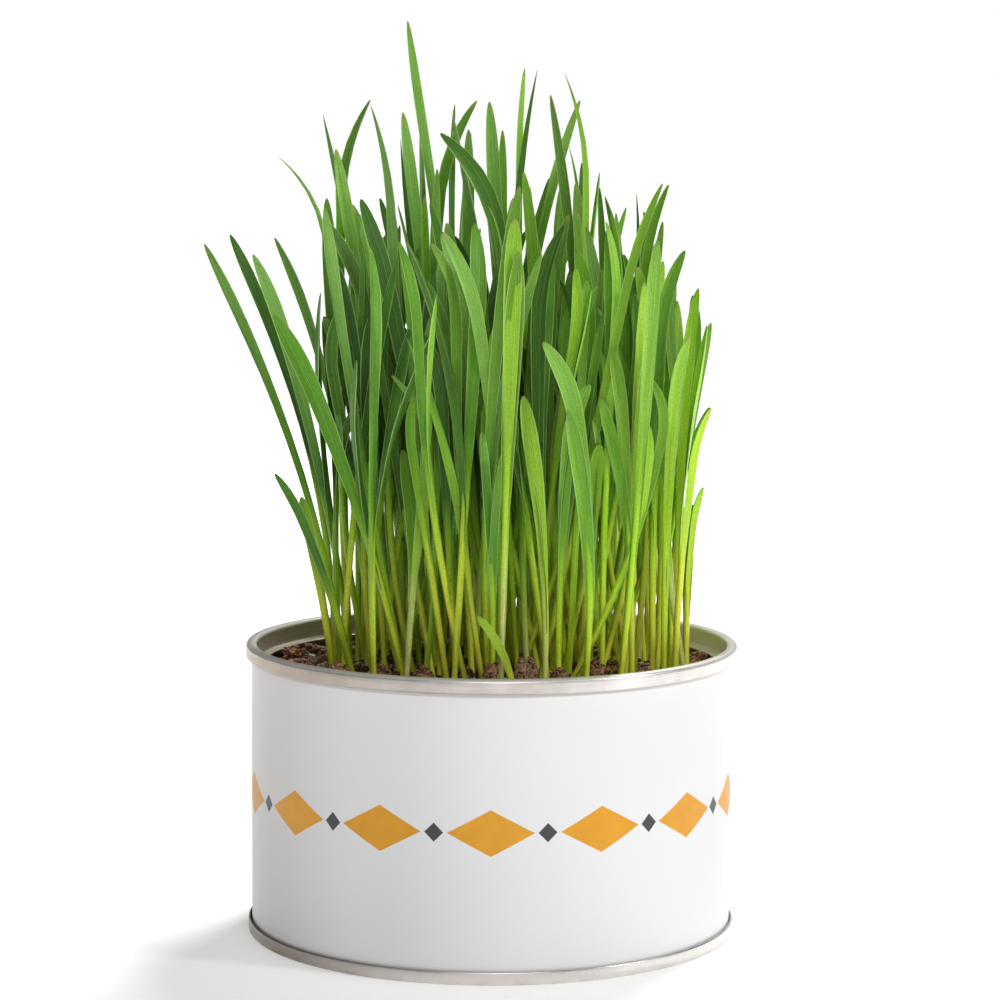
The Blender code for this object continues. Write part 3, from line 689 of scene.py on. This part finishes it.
filling = {
    "height": (76, 112), "bow": 0.1, "face": 45, "twist": 70, "width": (2.8, 4.0),
    "collar": (0.28, 0.45),  # shares of the height
}


def fillingLeaf(draw, centre):
    reach = (grass["rootBall"] - grass["rootMargin"]) * math.sqrt(draw.random())
    angle = draw.uniform(0, 2 * math.pi)
    root = np.array((centre[0] + reach * math.cos(angle), centre[1] + reach * math.sin(angle),
                     grass["rootEnd"]))
    out = np.array((root[0] - grass["patchShift"], root[1], 0.0)) / 40
    height = draw.uniform(*filling["height"]) * (1 - 0.16 * float(out @ out))
    lean = out * draw.uniform(-4, 9) + np.array((draw.gauss(0, 11), draw.gauss(0, 8), 0.0))
    return drawnByRule(draw, filling, root, height, lean, 1.0)


atTip, upperHalf = np.array((1.0,)), np.array((0.5, 0.8, 1.0))


def sideLeaf(draw, main):
    low, start = main.points(np.array((main.collar - 0.04, main.collar)))
    ahead = (start - low) / np.linalg.norm(start - low)
    length = np.linalg.norm(main.points(atTip)[0] - start) * draw.uniform(0.72, 1.05)
    angle = draw.uniform(0, 2 * math.pi)
    spread = math.radians(draw.uniform(5, 17))
    away = np.array((math.cos(angle), 0.8 * math.sin(angle), 0.0)) * math.sin(spread)
    tip = start + length * (ahead * math.cos(spread) + away)
    face = math.radians(draw.uniform(-70, 70))
    twist = math.radians(draw.uniform(-60, 60))
    width = main.width * draw.uniform(0.8, 1.05)
    return Leaf(sideLine(low, ahead, tip), width, roundTip, -0.25, face, twist)


# The cells of the space over the tin, each taken by a shoot or free.
class Room:
    def __init__(self, rules):
        self.rules = rules
        self.taken = np.zeros([round(space["side"] / rules["cell"])] * 3, bool)

    def cellsOf(self, points):
        return np.floor((points - np.array(space["low"])) / self.rules["cell"]).astype(int)

    def cells(self, leaf):
        points = leaf.surface(np.linspace(0.0, 0.995, self.rules["samples"]))
        return points, np.unique(self.cellsOf(points), axis=0)

    def free(self, cells):
        return not self.taken[tuple(cells.T)].any()

    def spreadOut(self, leaf):
        points = leaf.surface(upperHalf)
        out = np.hypot(points[:, 0] - grass["patchShift"], points[:, 1])
        most = grass["spread"] + grass["spreadRise"] * (points[:, 2] - tin["height"])
        return (out > most).any()

    # A leaf keeps off the tin's lip, and one of the CAD's keeps in its own root ball too.
    def clear(self, leaf, centre=None):
        line = leaf.points(np.linspace(0, 0.99, self.rules["lineSamples"]))
        if not self.free(self.cellsOf(line)):
            return False
        points, cells = self.cells(leaf)
        wall = grass["wallClearance"]
        limits = [(tin["height"] + wall, (0.0, 0.0), tin["lipInner"] - wall)]
        if centre:
            limits.append((grass["mixTop"] + 2 * grass["mixRelief"], centre, grass["rootBall"]))
        for height, around, most in limits:
            low = points[points[:, 2] < height]
            if np.hypot(low[:, 0] - around[0], low[:, 1] - around[1]).max(initial=0) > most:
                return False
        return self.free(cells)

    def take(self, leaf):
        cells = self.cells(leaf)[1]
        steps = ((0, 0, 0), (1, 0, 0), (-1, 0, 0), (0, 1, 0), (0, -1, 0), (0, 0, 1), (0, 0, -1))
        for step in steps if self.rules["gap"] else steps[:1]:
            self.taken[tuple((cells + step).T)] = True


# A tall leaf that has room, with a side leaf where one fits.
def grownShoot(room, draw, make, centre=None, keepIn=True):
    rules = room.rules
    for _ in range(rules["tries"]):
        main = make(draw)
        if (keepIn and room.spreadOut(main)) or not room.clear(main, centre):
            continue
        leaves = [main]
        highest = main.points(atTip)[0, 2] - rules["sideDrop"]
        for _ in range(rules["sideTries"]):
            side = sideLeaf(draw, main)
            if side.points(atTip)[0, 2] > highest:
                continue
            if room.clear(side, centre) and not room.spreadOut(side):
                leaves.append(side)
                break
        for leaf in leaves:
            room.take(leaf)
        return leaves
    return None


def tuftCentres():
    found = []
    for count, radius, first in grass["tufts"]:
        for k in range(count):
            angle = math.radians(first + 360 * k / count)
            found.append((grass["patchShift"] + radius * math.cos(angle), radius * math.sin(angle)))
    return found


def grow(tufts):
    room = Room(coarse)
    shoots = [[] for _ in tufts]
    for index, row in enumerate(outlineShoots):
        apart = [math.hypot(row[0] - x, row[1] - y) for x, y in tufts]
        nearest = apart.index(min(apart))
        centre = tufts[nearest]
        draw = random.Random(grass["seed"] * 1000 + index)
        leaves = grownShoot(room, draw, lambda d: outlineLeaf(d, row, centre), centre, keepIn=False)
        if leaves:
            shoots[nearest].append(leaves)
    for turn in range(grass["shootsPerTuft"]):
        for index, centre in enumerate(tufts):
            most = grass["shootsInFront" if centre[1] < grass["frontLine"] else "shootsPerTuft"]
            if len(shoots[index]) >= most:
                continue
            draw = random.Random(grass["seed"] * 100000 + turn * 100 + index)
            leaves = grownShoot(room, draw, lambda d: fillingLeaf(d, centre), centre)
            if leaves:
                shoots[index].append(leaves)
    return shoots


between = {
    "shoots": 240, "reach": 39.0, "lean": (2.0, 26.0),
    "height": (62, 110), "bow": 0.12, "face": 50, "twist": 80, "width": (1.9, 3.3),
    "collar": (28, 46),  # in mm
    "back": 7.0, "depth": 0.8,  # they stand behind the bare front of the mix
    "seed": 4, "pieces": 6,
    "backLeaf": (2.7, 0.4), "backRows": (40.0, 10.0, -1.5),
}


# One of the slimmer shoots that stand between those of the CAD, wherever there is room.
def slimLeaf(draw):
    reach, angle = between["reach"] * math.sqrt(draw.random()), draw.uniform(0, 2 * math.pi)
    root = np.array((grass["patchShift"] + reach * math.cos(angle),
                     between["back"] + between["depth"] * reach * math.sin(angle),
                     grass["rootEnd"] + 2))
    out = np.array((root[0] - grass["patchShift"], root[1], 0.0)) / 40
    height = draw.uniform(*between["height"]) * (1 - 0.18 * float(out @ out))
    sideways = draw.uniform(*between["lean"]) * draw.choice((-1, 1)) - 12.0 * out[0]
    lean = np.array((sideways, draw.gauss(0, 8), 0.0))
    return drawnByRule(draw, between, root, height, lean, height)


# A low young leaf and two crossing stems: root, tip, bow, width and collar.
loneLeaves = (
    ((4.5, -34.0, 52.5), (-3.0, -36.5, 70.5), (1.6, 0.0, 0.8), 2.2, 0.15),
    ((-30.5, -12.0, 52.0), (-20.0, -16.0, 138.0), (-2.0, 0.0, 0.0), 3.0, 0.42),
    ((-17.0, -16.0, 52.0), (-34.0, -16.0, 150.0), (-1.0, -1.0, 0.0), 3.4, 0.40),
)


# Upright leaves at the back, where the white ground would show through: x, the tip's height.
backLeaves = (
    (-18.8, 100.0), (-14.9, 106.0), (-8.5, 120.0), (-2.3, 112.0), (27.2, 104.0), (30.8, 96.0),
)


def loneLeaf(root, tip, bow, width, collar):
    root, tip, bow = np.array(root), np.array(tip), np.array(bow)
    return Leaf(stemLine(root, tip, bow, np.zeros(3)), width, roundTip, collar, 0.3, 0.5)


def growBetween(shoots):
    room = Room(fine)
    for leaf in (leaf for members in shoots for shoot in members for leaf in shoot):
        room.take(leaf)
    found = [[leaf] for leaf in (loneLeaf(*row) for row in loneLeaves) if room.clear(leaf)]
    print("lone leaves", len(found))
    for shoot in found:
        room.take(shoot[0])
    draw = random.Random(between["seed"])
    for _ in range(between["shoots"]):
        leaves = grownShoot(room, draw, slimLeaf)
        if leaves:
            found.append(leaves)
    for x, tipHeight in backLeaves:
        for y in np.arange(*between["backRows"]):
            root, tip = (x, y, grass["rootEnd"] + 2), (x, y, tipHeight)
            leaf = loneLeaf(root, tip, (0.0, 0.0, 0.0), *between["backLeaf"])
            if room.clear(leaf):
                room.take(leaf)
                found.append([leaf])
                break
    return found


# A blank is a straight round leaf one unit long, modelled once; each leaf is a copy of it
# drawn out along its own line.
def makeBlank(name, rings):
    shares = 1 - (1 - np.linspace(0, 1, rings)) ** 2  # closer together towards the tip
    outline = [(1.0, t / mm) for t in shares[:-1]] + [(0.0, 1 / mm)]
    return turnedPiece(name, outline, 8, closed=False)


def attach(mesh, label, values):
    mesh.attributes.new(label, "FLOAT", "POINT").data.foreach_set("value", values)


def linked(name, mesh, finish):
    mesh.materials.append(finish)
    piece = bpy.data.objects.new(name, mesh)
    bpy.context.scene.collection.objects.link(piece)
    return piece


def drawnLeaf(name, blank, leaf, tone, finish):
    mesh = blank.data.copy()
    mesh.name = name
    count = len(mesh.vertices)
    at = np.empty(count * 3)
    mesh.vertices.foreach_get("co", at)
    at = at.reshape(-1, 3)
    t = np.clip(at[:, 2], 0, 1)
    angle = np.arctan2(at[:, 1], at[:, 0])
    tip = np.hypot(at[:, 0], at[:, 1]) < 0.0001
    centre, across, through = leaf.frame(t)
    thick, fold = leaf.size(t)[1:]
    wide = leaf.shownWidth(np.minimum(t, 0.9995))
    opened = smooth((t - leaf.collar) / (1 - leaf.collar) / grass["opensOver"])
    c, s = np.cos(angle), np.sin(angle)
    c, s = np.where(tip, 0, c), np.where(tip, 0, s)
    flat = np.sign(c) * np.abs(c) ** (1 - 0.4 * opened)
    x = flat * wide / 2
    blade = fold * grass["keel"] * (1 - np.abs(flat) ** 1.3) - 0.35 * thick
    blade = blade + s * grass["shownThickness"] / 2 * np.where(wide > 1, 1, wide)
    stem = s * np.minimum(thick, wide) / 2
    y = stem + (blade - stem) * opened
    wave = np.sin(t * grass["rippleTurns"] + tone * 40)
    ripple = grass["ripple"] * opened * flat * wave * np.minimum(wide, 3) / 3
    place = centre + across * x[:, None] + through * (y + ripple)[:, None]
    mesh.vertices.foreach_set("co", (place * mm).ravel())
    length = np.linalg.norm(np.diff(leaf.points(np.linspace(0, 1, 40)), axis=0), axis=1).sum()
    for label, values in (("across", flat), ("along", t * length), ("opened", opened),
                          ("tone", np.full(count, tone)), ("share", t)):
        attach(mesh, label, values)
    return linked(name, mesh, finish)


def joined(name, pieces):
    deselectAll()
    for piece in pieces:
        piece.select_set(True)
    bpy.context.view_layer.objects.active = pieces[0]
    bpy.ops.object.join()
    whole = bpy.context.object
    whole.name = whole.data.name = name
    return whole


def drawnShoots(label, shoots, blanks, draw):
    leaves = []
    for index, shoot in enumerate(shoots):
        tone = draw.random()
        for leaf, blank, kind in zip(shoot, blanks, ("stem", "side")):
            near = min(1.0, max(0.0, tone + draw.uniform(-0.15, 0.15)))
            leaves.append(drawnLeaf(f"{kind}{label}x{index}", blank, leaf, near, grassGreen))
    return leaves


def makeGrass():
    blanks = makeBlank("longBlank", 18), makeBlank("shortBlank", 15)
    draw = random.Random(grass["toneSeed"])
    shoots = grow(tuftCentres())
    for number, members in enumerate(shoots, 1):
        tuft = joined(f"grassTuft{number}", drawnShoots(number, members, blanks, draw))
        finishPiece(tuft, "grass", f"tuft_{number}", angle=70)
    slim = growBetween(shoots)
    print("slim shoots", len(slim))
    for k in range(between["pieces"]):
        leaves = drawnShoots(f"s{k}", slim[k::between["pieces"]], blanks, draw)
        finishPiece(joined(f"slimShoots{k + 1}", leaves), "grass", angle=70)
    for blank in blanks:
        bpy.data.objects.remove(blank)


makeGrass()


print("potting mix")

mix = {
    "cells": 190, "radius": 49.0,
    "calmFrom": 48.5, "calmOver": 3.0, "rimDrop": 0.6,  # it lies lower and flatter at the wall
    "wallDepth": 2.5,
    "crumbs": 1900, "clumps": 60, "fibres": 160, "onClump": 14, "seed": 5,
}


# The clumps that show between the stems: x, y, half width, half height and tint.
bigClumps = (
    (0.2, -29.0, 2.6, 3.5, 0.46), (7.0, -27.5, 2.8, 4.0, 0.70), (24.5, -8.5, 2.2, 1.9, 0.42),
    (-5.5, -22.0, 2.2, 2.6, 0.36), (13.5, -27.0, 2.4, 3.0, 0.36), (20.8, -24.0, 2.5, 3.2, 0.46),
    (-13.5, -29.0, 2.4, 3.3, 0.50), (-31.0, -21.0, 2.6, 2.9, 0.62), (31.5, -21.5, 2.4, 2.9, 0.56),
    (-22.0, -26.0, 2.3, 3.0, 0.38),
    (-42.0, 11.0, 2.6, 1.7, 0.44), (-38.5, 15.5, 2.3, 1.6, 0.30), (-34.5, 9.0, 2.4, 1.7, 0.55),
    (-40.0, 3.0, 2.1, 1.4, 0.38), (44.0, 12.5, 2.2, 1.4, 0.62), (41.5, 4.0, 2.0, 1.3, 0.45),
    (-24.0, -4.0, 2.2, 1.5, 0.34), (-13.0, -8.0, 2.0, 1.5, 0.5), (16.0, -6.0, 2.0, 1.4, 0.3),
)
barkChips = (  # x, y, three half sizes and a turn
    (30.0, -19.0, 3.4, 0.5, 3.0, 0.3), (34.0, -13.5, 3.0, 0.45, 2.4, 2.7),
    (-35.0, -8.0, 2.6, 0.4, 1.8, 0.9),
)


def relief(x, y):
    return grass["mixRelief"] * (
        0.55 * math.sin(0.21 * x + 1.3) * math.cos(0.17 * y - 0.4)
        + 0.3 * math.sin(0.37 * x - 0.29 * y)
        + 0.25 * math.cos(0.33 * x + 0.41 * y + 2.0))


def makeMix():
    deselectAll()
    size = 2 * mix["radius"] * mm
    bpy.ops.mesh.primitive_grid_add(x_subdivisions=mix["cells"], y_subdivisions=mix["cells"],
                                    size=size, location=(0, 0, grass["mixTop"] * mm))
    bed = bpy.context.object
    bed.name = bed.data.name = "mixBed"
    bpy.ops.object.transform_apply(location=True)
    edge = mix["radius"] * mm - 0.0004
    deleteFaces(bed, lambda face: math.hypot(*face.center.xy) > edge, "FACE")
    bpy.ops.object.mode_set(mode="OBJECT")
    for vertex in bed.data.vertices:
        x, y = vertex.co.xy / mm
        out = math.hypot(x, y)
        if out > mix["radius"] - 0.9:  # the cut edge becomes a true circle
            x, y = x * mix["radius"] / out, y * mix["radius"] / out
        calm = min(1.0, max(0.0, (mix["calmFrom"] - out) / mix["calmOver"]))
        z = grass["mixTop"] + calm * relief(x, y) - (1 - calm) * mix["rimDrop"]
        vertex.co = (x * mm, y * mm, z * mm)
    for name, scale, depth in (("lumps", 4.5, 1.5), ("crumbs", 1.5, 1.1)):
        texture = bpy.data.textures.new(name, "CLOUDS")
        texture.noise_scale = scale * mm
        texture.noise_depth = 2
        pick(bed)
        rough = bed.modifiers.new(name, "DISPLACE")
        rough.texture = texture
        rough.texture_coords = "LOCAL"
        rough.direction = "Z"
        rough.mid_level = 0.5
        rough.strength = depth * mm
        bpy.ops.object.modifier_apply(modifier=name)
    editNothing(bed, "EDGE")
    bpy.ops.mesh.select_non_manifold()
    floor, depth = tin["chuckHeight"] + 1.2, mix["wallDepth"]
    for drop in (-depth, floor - grass["mixTop"] + depth):
        bpy.ops.mesh.extrude_edges_move(TRANSFORM_OT_translate={"value": (0, 0, drop * mm)})
    bpy.ops.transform.resize(value=(1, 1, 0), center_override=(0, 0, floor * mm))
    bpy.ops.mesh.edge_face_add()
    faceOutwards()
    bed.data.materials.append(pottingMix)
    finishPiece(bed, "potting_mix", "potting_mix", angle=80)
    return bed


def makeBlankCrumb(name, detail, squash, draw):
    deselectAll()
    bpy.ops.mesh.primitive_ico_sphere_add(subdivisions=detail, radius=1.0)
    crumb = bpy.context.object
    crumb.name = name
    for vertex in crumb.data.vertices:
        vertex.co *= draw.uniform(0.72, 1.12)
        vertex.co.z *= squash
    return crumb


# Each spot is a place, three sizes, two turns, a tint and the number of a blank.
def scatter(name, blanks, spots):
    points, faces, tints = [], [], []
    count = 0
    for place, sizes, turn, tint, which in spots:
        mesh = blanks[which].data
        at = np.array([v.co for v in mesh.vertices]) * sizes
        at = at @ np.array(Matrix.Rotation(turn[0], 3, "Z") @ Matrix.Rotation(turn[1], 3, "X")).T
        points.append((at + place) * mm)
        faces += [[count + i for i in face.vertices] for face in mesh.polygons]
        tints += [tint] * len(at)
        count += len(at)
    whole = bpy.data.meshes.new(name)
    whole.from_pydata(np.concatenate(points).tolist(), [], faces)
    attach(whole, "tint", tints)
    finishPiece(linked(name, whole, mixBits), "potting_mix", angle=20)


def makeBits(bed):
    draw = random.Random(mix["seed"])
    blanks = [makeBlankCrumb(f"crumb{k}", 1, draw.uniform(0.6, 0.95), draw) for k in range(4)]
    blanks += [makeBlankCrumb(f"clump{k}", 2, 0.75, draw) for k in range(3)]
    heights = {}
    for vertex in bed.data.vertices:
        x, y, z = vertex.co / mm
        if z > grass["mixTop"] - 4:
            heights[round(x), round(y)] = z

    def ground(x, y):
        return heights.get((round(x), round(y)), grass["mixTop"])

    def spot(most):
        reach, angle = most * math.sqrt(draw.random()), draw.uniform(0, 2 * math.pi)
        x, y = reach * math.cos(angle), reach * math.sin(angle)
        return x, y, ground(x, y)

    def turn():
        return draw.uniform(0, 6.3), draw.uniform(-0.6, 0.6)

    def aCrumb():
        return draw.randrange(4)

    def aClump():
        return 4 + draw.randrange(3)

    crumbs, clumps = [], []
    for _ in range(mix["crumbs"]):
        x, y, z = spot(46.2)
        size = draw.choice((0.5, 0.6, 0.8, 1.1)) * draw.uniform(0.7, 1.2)
        sizes = np.array((size * draw.uniform(0.8, 1.6), size, size * draw.uniform(0.6, 1)))
        crumbs.append(((x, y, z + 0.2 * size), sizes, turn(), draw.random(), aCrumb()))
    for _ in range(mix["clumps"]):
        x, y, z = spot(45.0)
        size = draw.uniform(1.5, 2.6)
        sizes = np.array((size * draw.uniform(0.9, 1.4), size, size * draw.uniform(0.6, 0.9)))
        clumps.append(((x, y, z + 0.3 * size), sizes, turn(), draw.uniform(0.0, 0.75), aClump()))
    for _ in range(mix["fibres"]):
        x, y, z = spot(44.5)
        sizes = np.array((draw.uniform(1.4, 3.4), 0.14, 0.14))
        crumbs.append(((x, y, z + 0.5), sizes, turn(), draw.uniform(0.5, 0.95), aCrumb()))
    for x, y, half, tall, tint in bigClumps:
        place = x, y, ground(x, y) + 0.8 * tall
        clumps.append((place, np.array((half, half * 0.85, tall)), turn(), tint, aClump()))
    for x, y, long, thin, tall, heading in barkChips:
        place = x, y, ground(x, y) + 0.6 * tall
        clumps.append((place, np.array((long, thin, tall)), (heading, 0.5), 0.9, 4))
    for place, sizes, _, tint, _ in list(clumps):
        if tint > 0.8:  # a chip has none on it
            continue
        for _ in range(mix["onClump"]):  # smaller crumbs stick out of each clump
            way = np.array((draw.gauss(0, 1), draw.gauss(0, 1), abs(draw.gauss(0, 1)) + 0.2))
            spotOn = np.array(place) + way / np.linalg.norm(way) * sizes * 0.85
            size = draw.uniform(0.4, 0.9)
            crumbs.append((spotOn, np.array((size, size * 0.8, size * 0.8)), turn(),
                           min(0.9, max(0.0, tint + draw.uniform(-0.2, 0.25))), aCrumb()))
    scatter("mixCrumbs", blanks, crumbs)
    scatter("mixClumps", blanks, clumps)
    for blank in blanks:
        bpy.data.objects.remove(blank)


makeBits(makeMix())


print("stage")

studio = {
    "floor": (0.93, 0.93, 0.93), "floorSize": 40.0,
    "nearGlow": 0.36, "farGlow": 1.0, "glowFrom": (0.16, 0.7),  # in metres from the tin's axis
    "sky": (0.97, 0.98, 1.0), "skyStrength": 0.16,
    "lights": {  # place, size, power, colour
        "keyLight": ((1.25, -0.55, 0.66), 0.2, 6.5, (1.0, 0.985, 0.96)),
        "backLight": ((0.35, 0.8, 1.2), 0.35, 14.5, (1.0, 0.99, 0.96)),
        "frontLight": ((0.1, -1.3, 0.7), 1.0, 5.4, (1.0, 1.0, 1.0)),
    },
    "aim": (0, 0, 0.08),
}


def makeStage():
    deselectAll()
    bpy.ops.mesh.primitive_plane_add(size=studio["floorSize"], location=(0, 0, 0))
    floor = bpy.context.object
    floor.name = "floor"
    f = Finish("paleFloor", Roughness=0.6, Emission_Strength=studio["farGlow"])
    x, y, z = f.place()
    far = ((x * x + y * y) ** 0.5).between(*studio["glowFrom"])
    near = [studio["nearGlow"] / studio["farGlow"]] * 3
    f.show(f.blend(f.noise(3.0), studio["floor"], [c * 0.99 for c in studio["floor"]]))
    f.feed(f.shader.inputs["Emission Color"], f.blend(far, near, (1.0, 1.0, 1.0)))
    floor.data.materials.append(f.material)
    world = bpy.data.worlds.new("studioSky")
    world.use_nodes = True
    nodes, links = world.node_tree.nodes, world.node_tree.links
    sky, seen = nodes["Background"], nodes.new("ShaderNodeBackground")
    sky.inputs["Color"].default_value = (*studio["sky"], 1.0)
    sky.inputs["Strength"].default_value = studio["skyStrength"]
    seen.inputs["Color"].default_value = (1.0, 1.0, 1.0, 1.0)  # the backdrop is white
    path, mixed = nodes.new("ShaderNodeLightPath"), nodes.new("ShaderNodeMixShader")
    links.new(path.outputs["Is Camera Ray"], mixed.inputs[0])
    links.new(sky.outputs[0], mixed.inputs[1])
    links.new(seen.outputs[0], mixed.inputs[2])
    links.new(mixed.outputs[0], nodes["World Output"].inputs["Surface"])
    bpy.context.scene.world = world
    for name, (place, size, power, colour) in studio["lights"].items():
        bpy.ops.object.light_add(type="AREA", location=place)
        light = bpy.context.object
        light.name, light.data.shape = name, "DISK"
        light.data.size, light.data.energy, light.data.color = size, power, colour
        aim = Vector(studio["aim"]) - light.location
        light.rotation_euler = aim.to_track_quat("-Z", "Y").to_euler()


view = {
    "lens": 113.43, "sensor": 36.0, "at": (0.0, -0.64926, 0.15887),
    "turns": (("Z", -0.1373), ("X", 83.913), ("Z", 0.2929)),  # in degrees, the outermost first
}


def makeCamera():
    bpy.ops.object.camera_add()
    camera = bpy.context.object
    camera.name = "photoCamera"
    camera.data.lens, camera.data.sensor_width = view["lens"], view["sensor"]
    place = Matrix.Translation(view["at"])
    for axis, angle in view["turns"]:
        place = place @ Matrix.Rotation(math.radians(angle), 4, axis)
    camera.matrix_world = place
    bpy.context.scene.camera = camera
    bpy.context.scene.view_settings.view_transform = "Standard"


makeStage()
makeCamera()

print("done")
